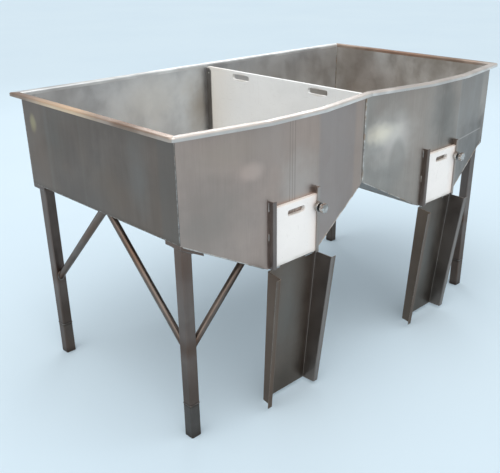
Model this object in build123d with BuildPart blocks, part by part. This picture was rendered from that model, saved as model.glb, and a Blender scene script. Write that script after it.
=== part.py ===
from build123d import *
import math
import os

os.makedirs("parts", exist_ok=True)

# ---------------------------------------------------------------------------
# Twin-compartment stainless tub on four braced legs.
# +X runs along the length, -Y is the front with the gates and chutes, +Z is up.
# The origin is on the floor, under the middle of the whole object.
# ---------------------------------------------------------------------------

# Driving dimensions, millimetres
LENGTH = 1725.0          # outer face of one end wall to the other
DEPTH = 860.0            # front corner plane to the outer face of the back wall
HEIGHT = 1050.0          # floor to the top of the rim
Y_FRONT = -383.5         # plane of the four front corners
Y_BACK = Y_FRONT + DEPTH
BULGE = 52.0             # how far each front stands out of the corner plane
FLAT = 120.0             # half width of the flat middle of each front
Z_WALL = 716.0           # lower edge of the back and end walls
Z_GATE = 556.0           # lower edge of the fronts under the gates
SHEET = 2.0              # sheet thickness
RIM_OUT = 28.0           # rim projection
RIM_DROP = 13.0          # depth of the turned-down rim lip
RIM_BEND = 5.0           # outer bend radius of the rim
RIM_CORNER = 18.0        # rounding of the rim at the two front corners

LEG = 40.0               # square leg tube
LEG_WALL = 3.0
LEG_INSET = 11.6         # leg face inside the wall plane
FOOT_TOP = 131.0         # joint between the leg and its foot section
PAD = 11.0               # thickness of the leg mounting pads under the hopper
PAD_X, PAD_Y = 88.0, 73.0
BRACE_D = 25.0
BRACE_Z = 345.0          # height of the lower brace ends
BRACE_WALL = 2.0

PLATE_HALF = 108.5       # gate plate half width
PLATE_T = 15.0
PLATE_LOW, PLATE_HIGH = 561.0, 766.0
PLATE_GAP = 0.6          # plate to front panel
SLOT_W, SLOT_H, SLOT_Z = 81.0, 20.0, 734.0
OPENING_W, OPENING_LOW, OPENING_HIGH = 170.0, 563.0, 715.0
GUIDE_OUT = 112.5        # gate guide, outer half width
GUIDE_IN = 97.5          # inner edge of its front flange
GUIDE_DEEP = 21.0
GUIDE_T = 3.0
GUIDE_TOP = 790.0

CLAMP_X, CLAMP_Z = 98.0, 725.0
BOSS_D, BOSS_L = 34.0, 12.0
SCREW_R = 6.0
KNOB_D, KNOB_L = 34.0, 13.0
FIT = 0.05               # radial running clearance

PIN_R = 2.5              # chute hinge pin
KNUCKLE_R = 4.5
HINGE_BACK = 3.1         # hinge axis behind the front panel's face
HINGE_Z = 551.2
CHUTE_LEAN = math.radians(4.15)
CHUTE_TOP, CHUTE_LEN = 2.0, 532.0
CHUTE_W = (119.0, 107.4)         # outer half width of the base, top and bottom
CHUTE_D = (68.0, 50.0)           # flange depth, top and bottom
CHUTE_FLARE = 0.12
CHUTE_LIP = 19.5

PANEL_T = 12.0           # divider board
PANEL_TOP = 1041.0
PANEL_LOW = 718.6
GUIDE_U = 28.0           # depth of the divider channels

Y_PANEL = Y_FRONT - BULGE            # outer face of the flat front panels
SIDES = (("left", -1.0), ("right", 1.0))
ENDS = (("front", -1.0), ("back", 1.0))
SLOPE_SIDE = (Z_WALL - Z_GATE) / (LENGTH / 4 - FLAT)
SLOPE_BACK = (Z_WALL - Z_GATE) / (DEPTH + BULGE)


def write(piece, name):
    piece.part.label = name
    export_step(piece.part, "parts/" + name + ".step")


# Plan outline of the tub, outer faces, counter-clockwise seen from above
OUTLINE = [
    (-LENGTH / 2, Y_FRONT),
    (-LENGTH / 4 - FLAT, Y_PANEL),
    (-LENGTH / 4 + FLAT, Y_PANEL),
    (0.0, Y_FRONT),
    (LENGTH / 4 - FLAT, Y_PANEL),
    (LENGTH / 4 + FLAT, Y_PANEL),
    (LENGTH / 2, Y_FRONT),
    (LENGTH / 2, Y_BACK),
    (-LENGTH / 2, Y_BACK),
]
COUNT = len(OUTLINE)


def along(i):
    """Unit direction of the outline's edge i."""
    a, b = OUTLINE[i % COUNT], OUTLINE[(i + 1) % COUNT]
    run = math.hypot(b[0] - a[0], b[1] - a[1])
    return ((b[0] - a[0]) / run, (b[1] - a[1]) / run, run)


def moved_out(i, by):
    """Outline corner i moved outwards by a distance, with a mitred corner."""
    t0, t1 = along(i - 1), along(i)
    n0, n1 = (t0[1], -t0[0]), (t1[1], -t1[0])
    k = by / (1.0 + n0[0] * n1[0] + n0[1] * n1[1])
    x, y = OUTLINE[i % COUNT]
    return (x + k * (n0[0] + n1[0]), y + k * (n0[1] + n1[1]))


def mitre(i):
    """Plane that bisects outline corner i, facing along the outline."""
    t0, t1 = along(i - 1), along(i)
    x, y = OUTLINE[i % COUNT]
    return Plane(origin=(x, y, 0), z_dir=(t0[0] + t1[0], t0[1] + t1[1], 0))


def station(i, reach):
    """Plane across the wall on edge i: local X points outwards, local Y up."""
    tx, ty, run = along(i)
    x, y = OUTLINE[(i + 1) % COUNT]
    return Plane(
        origin=(x + tx * reach, y + ty * reach, 0),
        x_dir=(ty, -tx, 0),
        z_dir=(-tx, -ty, 0),
    )


def folded_section(low):
    """Wall, rim flange and turned-down lip as one folded sheet."""
    Polygon(
        (-SHEET, low),
        (0, low),
        (0, HEIGHT - SHEET),
        (RIM_OUT - SHEET, HEIGHT - SHEET),
        (RIM_OUT - SHEET, HEIGHT - RIM_DROP),
        (RIM_OUT, HEIGHT - RIM_DROP),
        (RIM_OUT, HEIGHT),
        (-SHEET, HEIGHT),
        align=None,
    )
    top = vertices().group_by(Axis.Y)[-1]
    under = vertices().group_by(Axis.Y)[-2]
    fillet(top, radius=RIM_BEND)
    fillet(under, radius=RIM_BEND - SHEET)


def hopper_planes(s, up=0.0):
    """The three sloping planes under compartment s, raised by a distance."""
    made = []
    for origin, normal in (
        ((s * LENGTH / 2, 0, Z_WALL), (-s * SLOPE_SIDE, 0, 1)),
        ((0, 0, Z_WALL), (s * SLOPE_SIDE, 0, 1)),
        ((0, Y_PANEL, Z_GATE), (0, -SLOPE_BACK, 1)),
    ):
        n = Vector(*normal).normalized()
        made.append(Plane(origin=Vector(*origin) + n * up, z_dir=n))
    return made


# ---------------------------------------------------------------------------
# Working volumes, not pieces: the space above the hopper's lower faces, above
# its upper faces, and above the undersides of the leg pads, per compartment.
# ---------------------------------------------------------------------------
space_outer, space_inner, space_pad = {}, {}, {}
for s in (-1.0, 1.0):
    for store, up, side_grow in (
        (space_outer, 0.0, 60.0),
        (space_inner, SHEET, 60.0),
        (space_pad, -PAD, 60.0),
    ):
        with BuildPart() as space:
            with BuildSketch(Plane.XY.offset(380)):
                with BuildLine():
                    Polyline(
                        (0, Y_FRONT - 130),
                        (s * (LENGTH / 2 + side_grow), Y_FRONT - 130),
                        (s * (LENGTH / 2 + side_grow), Y_BACK + 60),
                        (0, Y_BACK + 60),
                        close=True,
                    )
                make_face()
            extrude(amount=760)
            for cut in hopper_planes(s, up):
                split(bisect_by=cut, keep=Keep.TOP)
        store[s] = space.part

def corner_block(i, by, radius, low, top, bend, run=150.0):
    """Block inside two offset edges at corner i, its corner and top edge rounded."""
    tx0, ty0, _ = along(i - 1)
    tx1, ty1, _ = along(i)
    x, y = moved_out(i, by)
    far = (x + (tx1 - tx0) * run, y + (ty1 - ty0) * run)
    with BuildPart() as block:
        with BuildSketch(Plane.XY.offset(low)):
            Polygon(
                (x - tx0 * run, y - ty0 * run),
                (x, y),
                (x + tx1 * run, y + ty1 * run),
                far,
                align=None,
            )
            if radius > 0:
                tip = [v for v in vertices() if math.hypot(v.X - x, v.Y - y) < 0.01]
                fillet(tip, radius=radius)
        extrude(amount=top - low)
        if bend > 0:
            outer = [
                e
                for e in faces().sort_by(Axis.Z)[-1].edges()
                if all(math.hypot(v.X - far[0], v.Y - far[1]) > 1 for v in e.vertices())
            ]
            fillet(outer, radius=bend)
    return block.part


def rounded_corner(i):
    """Where the square rim corner i comes off, and the rounded one that replaces it."""
    low = HEIGHT - RIM_DROP
    with BuildPart() as zone:
        add(corner_block(i, RIM_OUT + 5, 0, low - 1, HEIGHT + 1, 0, run=62.0))
        add(corner_block(i, 9.0, 0, low - 2, HEIGHT + 2, 0), mode=Mode.SUBTRACT)
    with BuildPart() as cap:
        add(corner_block(i, RIM_OUT, RIM_CORNER, low, HEIGHT, RIM_BEND))
        add(
            corner_block(
                i,
                RIM_OUT - SHEET,
                RIM_CORNER - SHEET,
                low - 1,
                HEIGHT - SHEET,
                RIM_BEND - SHEET,
                run=170.0,
            ),
            mode=Mode.SUBTRACT,
        )
        add(zone.part, mode=Mode.INTERSECT)
    halves = {}
    for keep in (Keep.TOP, Keep.BOTTOM):
        with BuildPart() as half:
            add(cap.part)
            split(bisect_by=mitre(i), keep=keep)
        halves[keep] = half.part
    return zone.part, halves


ROUNDED = {0: rounded_corner(0), 6: rounded_corner(6)}

# ---------------------------------------------------------------------------
# Tub walls, each one folded sheet with its own stretch of rim, mitred at the
# corners
# ---------------------------------------------------------------------------
with BuildPart() as back_wall:
    with BuildSketch(station(7, 60)):
        folded_section(690)
    extrude(amount=along(7)[2] + 120)
    split(bisect_by=mitre(7), keep=Keep.TOP)
    split(bisect_by=mitre(8), keep=Keep.BOTTOM)
    split(bisect_by=hopper_planes(-1.0)[2], keep=Keep.TOP)
write(back_wall, "back_wall")

for name, edge, s in (("left_end_wall", 8, -1.0), ("right_end_wall", 6, 1.0)):
    with BuildPart() as end_wall:
        with BuildSketch(station(edge, 60)):
            folded_section(690)
        extrude(amount=along(edge)[2] + 120)
        split(bisect_by=mitre(edge), keep=Keep.TOP)
        split(bisect_by=mitre(edge + 1), keep=Keep.BOTTOM)
        add(space_outer[s], mode=Mode.INTERSECT)
        zone, halves = ROUNDED[0 if s < 0 else 6]
        add(zone, mode=Mode.SUBTRACT)
        add(halves[Keep.BOTTOM if s < 0 else Keep.TOP])
    write(end_wall, name)

for name, s, first in (("front_panel_left", -1.0, 0), ("front_panel_right", 1.0, 3)):
    facets = []
    for edge in (first, first + 1, first + 2):
        with BuildPart() as facet:
            with BuildSketch(station(edge, 60)):
                folded_section(520)
            extrude(amount=along(edge)[2] + 120)
            split(bisect_by=mitre(edge), keep=Keep.TOP)
            split(bisect_by=mitre(edge + 1), keep=Keep.BOTTOM)
        facets.append(facet.part)
    with BuildPart() as front_panel:
        for facet_part in facets:
            add(facet_part)
        add(space_outer[s], mode=Mode.INTERSECT)
        zone, halves = ROUNDED[0 if s < 0 else 6]
        add(zone, mode=Mode.SUBTRACT)
        add(halves[Keep.TOP if s < 0 else Keep.BOTTOM])
        # discharge opening behind the gate plate
        with BuildSketch(
            Plane(
                origin=(s * LENGTH / 4, Y_PANEL - 5, (OPENING_LOW + OPENING_HIGH) / 2),
                x_dir=(1, 0, 0),
                z_dir=(0, 1, 0),
            )
        ):
            RectangleRounded(OPENING_W, OPENING_HIGH - OPENING_LOW, 8)
        extrude(amount=12, mode=Mode.SUBTRACT)
    write(front_panel, name)

# ---------------------------------------------------------------------------
# Hopper floors: three sloping facets each, meeting in a ridge at mid length
# ---------------------------------------------------------------------------
for side, s in SIDES:
    inside = [moved_out(i, -SHEET) for i in range(COUNT)]
    if s < 0:
        plan = [inside[0], inside[1], inside[2], inside[3], (0.0, inside[8][1]), inside[8]]
    else:
        plan = [inside[3], inside[4], inside[5], inside[6], inside[7], (0.0, inside[7][1])]
    with BuildPart() as hopper_floor:
        with BuildSketch(Plane.XY.offset(540)):
            with BuildLine():
                Polyline(*plan, close=True)
            make_face()
        extrude(amount=220)
        add(space_outer[s], mode=Mode.INTERSECT)
        add(space_inner[s], mode=Mode.SUBTRACT)
    write(hopper_floor, "hopper_floor_" + side)

# ---------------------------------------------------------------------------
# Divider board and the two channels that it slides in
# ---------------------------------------------------------------------------
CHANNEL_HALF = PANEL_T / 2 + 0.8
Y_CHANNEL_BACK = Y_BACK - SHEET
Y_CHANNEL_FRONT = Y_FRONT + SHEET + 0.3
for name, y0, d in (
    ("divider_channel_back", Y_CHANNEL_BACK, -1.0),
    ("divider_channel_front", Y_CHANNEL_FRONT, 1.0),
):
    with BuildPart() as channel:
        with BuildSketch(Plane.XY.offset(722)):
            with BuildLine():
                Polyline(
                    (-CHANNEL_HALF - SHEET, y0),
                    (-CHANNEL_HALF - SHEET, y0 + d * GUIDE_U),
                    (-CHANNEL_HALF, y0 + d * GUIDE_U),
                    (-CHANNEL_HALF, y0 + d * SHEET),
                    (CHANNEL_HALF, y0 + d * SHEET),
                    (CHANNEL_HALF, y0 + d * GUIDE_U),
                    (CHANNEL_HALF + SHEET, y0 + d * GUIDE_U),
                    (CHANNEL_HALF + SHEET, y0),
                    close=True,
                )
            make_face()
        extrude(amount=313)
        # lead-in chamfers and a small hole at the top of each flange
        chamfer(
            edges()
            .filter_by(Axis.X)
            .group_by(Axis.Z)[-1]
            .group_by(Axis.Y)[0 if d < 0 else -1],
            length=8,
        )
        with BuildSketch(
            Plane(origin=(-20, y0 + d * 16, 1016), x_dir=(0, 1, 0), z_dir=(1, 0, 0))
        ):
            Circle(3.5)
        extrude(amount=40, mode=Mode.SUBTRACT)
    write(channel, name)

with BuildPart() as divider_board:
    y_low = Y_CHANNEL_FRONT + SHEET + 1.0
    y_high = Y_CHANNEL_BACK - SHEET - 1.0
    with BuildSketch(Plane(origin=(-PANEL_T / 2, 0, 0), x_dir=(0, 1, 0), z_dir=(1, 0, 0))):
        with BuildLine():
            Polyline(
                (y_low, PANEL_LOW),
                (y_high, PANEL_LOW),
                (y_high, PANEL_TOP),
                (y_low, PANEL_TOP),
                close=True,
            )
        make_face()
        fillet(vertices().group_by(Axis.Y)[-1], radius=10)
        with Locations((Y_FRONT + 225, 1018), (Y_FRONT + 645, 1018)):
            RectangleRounded(97, 21, 7.5, mode=Mode.SUBTRACT)
    extrude(amount=PANEL_T)
    chamfer(faces().sort_by(Axis.Z)[-1].edges().filter_by(Axis.Y), length=1.0)
write(divider_board, "divider_board")

# ---------------------------------------------------------------------------
# Legs, foot sections, mounting pads and braces
# ---------------------------------------------------------------------------
for side, s in SIDES:
    for end, e in ENDS:
        x_leg = s * (LENGTH / 2 - LEG_INSET - LEG / 2)
        y_wall = Y_FRONT if e < 0 else Y_BACK
        y_leg = y_wall - e * (LEG_INSET + LEG / 2)
        tag = end + "_" + side

        with BuildPart() as leg:
            with BuildSketch(Plane.XY.offset(FOOT_TOP)):
                with Locations((x_leg, y_leg)):
                    RectangleRounded(LEG, LEG, 5)
                    RectangleRounded(
                        LEG - 2 * LEG_WALL, LEG - 2 * LEG_WALL, 2, mode=Mode.SUBTRACT
                    )
            extrude(amount=640)
            add(space_pad[s], mode=Mode.SUBTRACT)
        write(leg, "leg_" + tag)

        with BuildPart() as foot:
            with BuildSketch(Plane.XY):
                with Locations((x_leg, y_leg)):
                    RectangleRounded(LEG, LEG, 5)
            extrude(amount=FOOT_TOP)
            fillet(faces().sort_by(Axis.Z)[0].edges(), radius=1.2)
            with BuildSketch(Plane.XY.offset(5)):
                with Locations((x_leg, y_leg)):
                    RectangleRounded(LEG - 2 * LEG_WALL, LEG - 2 * LEG_WALL, 2)
            extrude(amount=FOOT_TOP, mode=Mode.SUBTRACT)
            # spigot that reaches up into the leg tube
            with BuildSketch(Plane.XY.offset(FOOT_TOP - 45)):
                with Locations((x_leg, y_leg)):
                    RectangleRounded(LEG - 2 * LEG_WALL, LEG - 2 * LEG_WALL, 2)
                    RectangleRounded(
                        LEG - 4 * LEG_WALL, LEG - 4 * LEG_WALL, 1, mode=Mode.SUBTRACT
                    )
            extrude(amount=45)
            with BuildSketch(Plane.XY.offset(FOOT_TOP)):
                with Locations((x_leg, y_leg)):
                    RectangleRounded(LEG - 2 * LEG_WALL - 0.2, LEG - 2 * LEG_WALL - 0.2, 2)
                    RectangleRounded(
                        LEG - 4 * LEG_WALL, LEG - 4 * LEG_WALL, 1, mode=Mode.SUBTRACT
                    )
            extrude(amount=45)
        write(foot, "foot_" + tag)

        with BuildPart() as pad:
            with BuildSketch(Plane.XY.offset(600)):
                with BuildLine():
                    Polyline(
                        (s * LENGTH / 2, y_wall),
                        (s * (LENGTH / 2 - PAD_X), y_wall),
                        (s * (LENGTH / 2 - PAD_X), y_wall - e * (PAD_Y - 15)),
                        (s * (LENGTH / 2 - PAD_X + 15), y_wall - e * PAD_Y),
                        (s * LENGTH / 2, y_wall - e * PAD_Y),
                        close=True,
                    )
                make_face()
            extrude(amount=180)
            add(space_pad[s], mode=Mode.INTERSECT)
            add(space_outer[s], mode=Mode.SUBTRACT)
        write(pad, "leg_pad_" + tag)

        # brace along the length, from the leg's inner face to the hopper
        x_face = s * (LENGTH / 2 - LEG_INSET - LEG)
        rise = Vector(-s, 0, 1).normalized()
        with BuildPart() as brace:
            with BuildSketch(
                Plane(
                    origin=Vector(x_face, y_leg, BRACE_Z) - rise * 40,
                    x_dir=(0, 1, 0),
                    z_dir=rise,
                )
            ):
                Circle(BRACE_D / 2)
                Circle(BRACE_D / 2 - BRACE_WALL, mode=Mode.SUBTRACT)
            extrude(amount=640)
            split(
                bisect_by=Plane(origin=(x_face, 0, 0), z_dir=(-s, 0, 0)), keep=Keep.TOP
            )
            add(space_outer[s], mode=Mode.SUBTRACT)
        write(brace, "long_brace_" + tag)

        # brace in the end frame, from the leg's inner face to mid depth
        y_face = y_leg - e * LEG / 2
        rise = Vector(0, -e, 1).normalized()
        with BuildPart() as brace:
            with BuildSketch(
                Plane(
                    origin=Vector(x_leg, y_face, BRACE_Z) - rise * 40,
                    x_dir=(1, 0, 0),
                    z_dir=rise,
                )
            ):
                Circle(BRACE_D / 2)
                Circle(BRACE_D / 2 - BRACE_WALL, mode=Mode.SUBTRACT)
            extrude(amount=640)
            split(
                bisect_by=Plane(origin=(0, y_face, 0), z_dir=(0, -e, 0)), keep=Keep.TOP
            )
            split(
                bisect_by=Plane(origin=(0, (Y_FRONT + Y_BACK) / 2, 0), z_dir=(0, e, 0)),
                keep=Keep.TOP,
            )
            add(space_outer[s], mode=Mode.SUBTRACT)
        write(brace, "end_brace_" + tag)

# ---------------------------------------------------------------------------
# Gates: plate, guides, clamp
# ---------------------------------------------------------------------------
for side, s in SIDES:
    xm = s * LENGTH / 4

    for hand, d in SIDES:
        with BuildPart() as guide:
            with BuildSketch(Plane.XY.offset(Z_GATE)):
                with BuildLine():
                    Polyline(
                        (xm + d * GUIDE_IN, Y_PANEL - GUIDE_DEEP),
                        (xm + d * GUIDE_OUT, Y_PANEL - GUIDE_DEEP),
                        (xm + d * GUIDE_OUT, Y_PANEL),
                        (xm + d * (GUIDE_OUT - GUIDE_T), Y_PANEL),
                        (xm + d * (GUIDE_OUT - GUIDE_T), Y_PANEL - GUIDE_DEEP + GUIDE_T),
                        (xm + d * GUIDE_IN, Y_PANEL - GUIDE_DEEP + GUIDE_T),
                        close=True,
                    )
                make_face()
                outer = vertices().group_by(Axis.X)[-1 if d > 0 else 0].sort_by(Axis.Y)[0]
                fillet(outer, radius=4)
            extrude(amount=GUIDE_TOP - Z_GATE)
            # closed foot that the plate stands on
            with BuildSketch(Plane.XY.offset(Z_GATE)):
                with Locations((xm + d * (GUIDE_IN + GUIDE_OUT - GUIDE_T) / 2, Y_PANEL - (GUIDE_DEEP - GUIDE_T) / 2)):
                    Rectangle(GUIDE_OUT - GUIDE_T - GUIDE_IN, GUIDE_DEEP - GUIDE_T)
            extrude(amount=PLATE_LOW - 0.3 - Z_GATE)
            if d > 0:
                with BuildSketch(
                    Plane(
                        origin=(xm + CLAMP_X, Y_PANEL - GUIDE_DEEP - 1, CLAMP_Z),
                        x_dir=(1, 0, 0),
                        z_dir=(0, 1, 0),
                    )
                ):
                    Circle(SCREW_R + 0.5)
                extrude(amount=GUIDE_T + 2, mode=Mode.SUBTRACT)
        write(guide, "gate_guide_" + side + "_" + ("a" if d < 0 else "b"))

    with BuildPart() as plate:
        with BuildSketch(
            Plane(origin=(xm, Y_PANEL - PLATE_GAP, 0), x_dir=(1, 0, 0), z_dir=(0, -1, 0))
        ):
            with Locations((0, (PLATE_LOW + PLATE_HIGH) / 2)):
                RectangleRounded(2 * PLATE_HALF, PLATE_HIGH - PLATE_LOW, 4)
            with Locations((0, SLOT_Z)):
                RectangleRounded(SLOT_W, SLOT_H, 7, mode=Mode.SUBTRACT)
        extrude(amount=PLATE_T)
        chamfer(
            faces().sort_by(Axis.Y)[0].edges().filter_by(Axis.X).sort_by(Axis.Z)[-1:],
            length=1.0,
        )
    write(plate, "gate_plate_" + side)

    forward = Plane(
        origin=(xm + CLAMP_X, Y_PANEL - GUIDE_DEEP, CLAMP_Z), x_dir=(1, 0, 0), z_dir=(0, -1, 0)
    )
    with BuildPart() as boss:
        with BuildSketch(forward):
            Circle(BOSS_D / 2)
        extrude(amount=BOSS_L)
        chamfer(edges().filter_by(GeomType.CIRCLE).sort_by(Axis.Y)[0], length=1.5)
        with BuildSketch(forward):
            Circle(SCREW_R + FIT)
        extrude(amount=BOSS_L, mode=Mode.SUBTRACT)
    write(boss, "clamp_boss_" + side)

    # screw: tip against the gate plate, tail inside the knob
    tip = forward.offset(-(GUIDE_DEEP - PLATE_GAP - PLATE_T - 0.3))
    screw_len = (GUIDE_DEEP - PLATE_GAP - PLATE_T - 0.3) + BOSS_L + 16
    with BuildPart() as screw:
        with BuildSketch(tip):
            Circle(SCREW_R)
        extrude(amount=screw_len)
        chamfer(edges().filter_by(GeomType.CIRCLE).sort_by(Axis.Y)[-1], length=1.2)
    write(screw, "clamp_screw_" + side)

    hub = forward.offset(BOSS_L + 4)
    head = forward.offset(BOSS_L + 10)
    with BuildPart() as knob:
        with BuildSketch(hub):
            Circle(8.5)
        extrude(amount=6)
        with BuildSketch(head):
            Circle(KNOB_D / 2)
            with PolarLocations(KNOB_D / 2 + 2.5, 6, start_angle=30):
                Circle(5.5, mode=Mode.SUBTRACT)
        extrude(amount=KNOB_L)
        fillet(faces().sort_by(Axis.Y)[0].edges(), radius=1.5)
        with BuildSketch(hub):
            Circle(SCREW_R + FIT)
        extrude(amount=12.5, mode=Mode.SUBTRACT)
    write(knob, "clamp_knob_" + side)

# ---------------------------------------------------------------------------
# Chutes: tapered hat-section troughs that hang from a pin under each gate
# ---------------------------------------------------------------------------


def chute_section(half, deep):
    """Base, splayed flanges and outward lips as one folded sheet."""
    back, face = 2.5, 2.5 + SHEET
    x1 = half + CHUTE_FLARE * (deep - SHEET)
    x2 = x1 + CHUTE_LIP
    x3 = half - SHEET + CHUTE_FLARE * deep
    f1, f2 = face + deep - SHEET, face + deep
    Polygon(
        (half, back), (x1, f1), (x2, f1), (x2, f2), (x3, f2), (half - SHEET, face),
        (-half + SHEET, face), (-x3, f2), (-x2, f2), (-x2, f1), (-x1, f1), (-half, back),
        align=None,
    )
    # outer bends, then the inner bends of the same folds
    fillet([v for v in vertices() if abs(abs(v.X) - half) < 0.01 and v.Y < 3], radius=4.0)
    fillet([v for v in vertices() if abs(abs(v.X) - half + SHEET) < 0.01 and 3 < v.Y < 6], radius=2.0)
    fillet([v for v in vertices() if abs(abs(v.X) - x3) < 0.01 and v.Y > deep], radius=4.0)
    fillet([v for v in vertices() if abs(abs(v.X) - x1) < 0.01 and v.Y > deep - 2], radius=2.0)


for side, s in SIDES:
    xm = s * LENGTH / 4
    axis_point = Vector(xm, Y_PANEL + HINGE_BACK, HINGE_Z)
    down = Vector(0, math.sin(CHUTE_LEAN), -math.cos(CHUTE_LEAN))
    ahead = Vector(0, -math.cos(CHUTE_LEAN), -math.sin(CHUTE_LEAN))

    with BuildPart() as chute:
        for at, half, deep in (
            (CHUTE_TOP, CHUTE_W[0], CHUTE_D[0]),
            (CHUTE_TOP + CHUTE_LEN, CHUTE_W[1], CHUTE_D[1]),
        ):
            with BuildSketch(Plane(origin=axis_point + down * at, x_dir=(1, 0, 0), z_dir=down)):
                chute_section(half, deep)
        loft(ruled=True)
        # notches round the fixed knuckles
        with BuildSketch(
            Plane(origin=axis_point - ahead * 2, x_dir=(1, 0, 0), z_dir=ahead)
        ):
            with Locations((-80.5, 0), (80.5, 0)):
                Rectangle(39, 10.6)
        extrude(amount=7, mode=Mode.SUBTRACT)
        # knuckle on the base, bored for the pin
        with BuildSketch(Plane(origin=axis_point + Vector(-60, 0, 0), x_dir=(0, 1, 0), z_dir=(1, 0, 0))):
            Circle(KNUCKLE_R)
        extrude(amount=120)
        with BuildSketch(Plane(origin=axis_point + Vector(-62, 0, 0), x_dir=(0, 1, 0), z_dir=(1, 0, 0))):
            Circle(PIN_R + FIT)
        extrude(amount=124, mode=Mode.SUBTRACT)
    write(chute, "chute_" + side)

    with BuildPart() as knuckles:
        for x0 in (-98.0, 62.0):
            with BuildSketch(
                Plane(origin=axis_point + Vector(x0, 0, 0), x_dir=(0, 1, 0), z_dir=(1, 0, 0))
            ):
                Circle(KNUCKLE_R)
                with Locations((0.4, 3.0)):
                    Rectangle(5.0, 8.0)
            extrude(amount=36)
        add(space_outer[s], mode=Mode.SUBTRACT)
        with BuildSketch(
            Plane(origin=axis_point + Vector(-100, 0, 0), x_dir=(0, 1, 0), z_dir=(1, 0, 0))
        ):
            Circle(PIN_R)
        extrude(amount=200, mode=Mode.SUBTRACT)
    write(knuckles, "hinge_knuckles_" + side)

    with BuildPart() as pin:
        with BuildSketch(
            Plane(origin=axis_point + Vector(-98.4, 0, 0), x_dir=(0, 1, 0), z_dir=(1, 0, 0))
        ):
            Circle(PIN_R)
        extrude(amount=196.8)
        chamfer(edges().filter_by(GeomType.CIRCLE), length=0.5)
    write(pin, "hinge_pin_" + side)
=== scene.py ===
import bpy
import bmesh
import math
from mathutils import Matrix, Vector


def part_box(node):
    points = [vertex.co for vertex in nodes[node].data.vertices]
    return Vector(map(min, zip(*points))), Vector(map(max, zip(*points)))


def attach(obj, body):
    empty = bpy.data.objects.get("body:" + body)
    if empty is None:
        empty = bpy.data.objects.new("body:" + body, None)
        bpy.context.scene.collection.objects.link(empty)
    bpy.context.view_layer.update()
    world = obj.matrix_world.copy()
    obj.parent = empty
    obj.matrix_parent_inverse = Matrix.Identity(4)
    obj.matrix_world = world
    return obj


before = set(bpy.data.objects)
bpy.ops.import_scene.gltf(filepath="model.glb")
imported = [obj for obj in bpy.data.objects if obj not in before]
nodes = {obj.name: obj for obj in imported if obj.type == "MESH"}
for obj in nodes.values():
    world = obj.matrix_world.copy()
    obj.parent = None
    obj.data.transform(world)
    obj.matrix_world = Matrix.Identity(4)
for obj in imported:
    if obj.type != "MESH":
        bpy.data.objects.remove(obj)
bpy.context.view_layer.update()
scene = bpy.context.scene

# --------------------------------------------------------------------------
# Dimensions in metres, read from the frame where a box gives them
# --------------------------------------------------------------------------
X_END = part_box("right_end_wall")[1].x - 0.028          # outer face of the end walls
Y_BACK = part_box("back_wall")[1].y - 0.028              # outer face of the back wall
Y_FRONT = Y_BACK - 0.860                               # plane of the front corners
Y_PANEL = Y_FRONT - 0.052                              # flat fronts, outer face
X_MID = X_END / 2                                      # middle of a compartment
Z_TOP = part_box("back_wall")[1].z
Z_WALL, Z_GATE = 0.716, 0.556
SLOPE_SIDE = (Z_WALL - Z_GATE) / (X_MID - 0.120)
SLOPE_BACK = (Z_WALL - Z_GATE) / 0.912
SIDES = (("left", -1.0), ("right", 1.0))
ENDS = (("front", -1.0), ("back", 1.0))

# --------------------------------------------------------------------------
# Camera
# --------------------------------------------------------------------------
cam_data = bpy.data.cameras.new("camera")
cam_data.sensor_fit = "HORIZONTAL"
cam_data.sensor_width = 36.0
cam_data.lens = 51.98
cam_data.shift_x = -0.0494
cam_data.shift_y = 0.0739
cam_data.clip_end = 200.0
camera = bpy.data.objects.new("camera", cam_data)
scene.collection.objects.link(camera)
ahead = Vector((0.6464, 0.6334, -0.4253)).normalized()
side = Vector((0.6999, -0.7142, 0.0)).normalized()
up = side.cross(ahead).normalized()
turn = Matrix((side, up, -ahead)).transposed()
camera.matrix_world = Matrix.Translation((-2.0702, Y_FRONT - 1.5738, 1.5524)) @ turn.to_4x4()
scene.camera = camera


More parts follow.
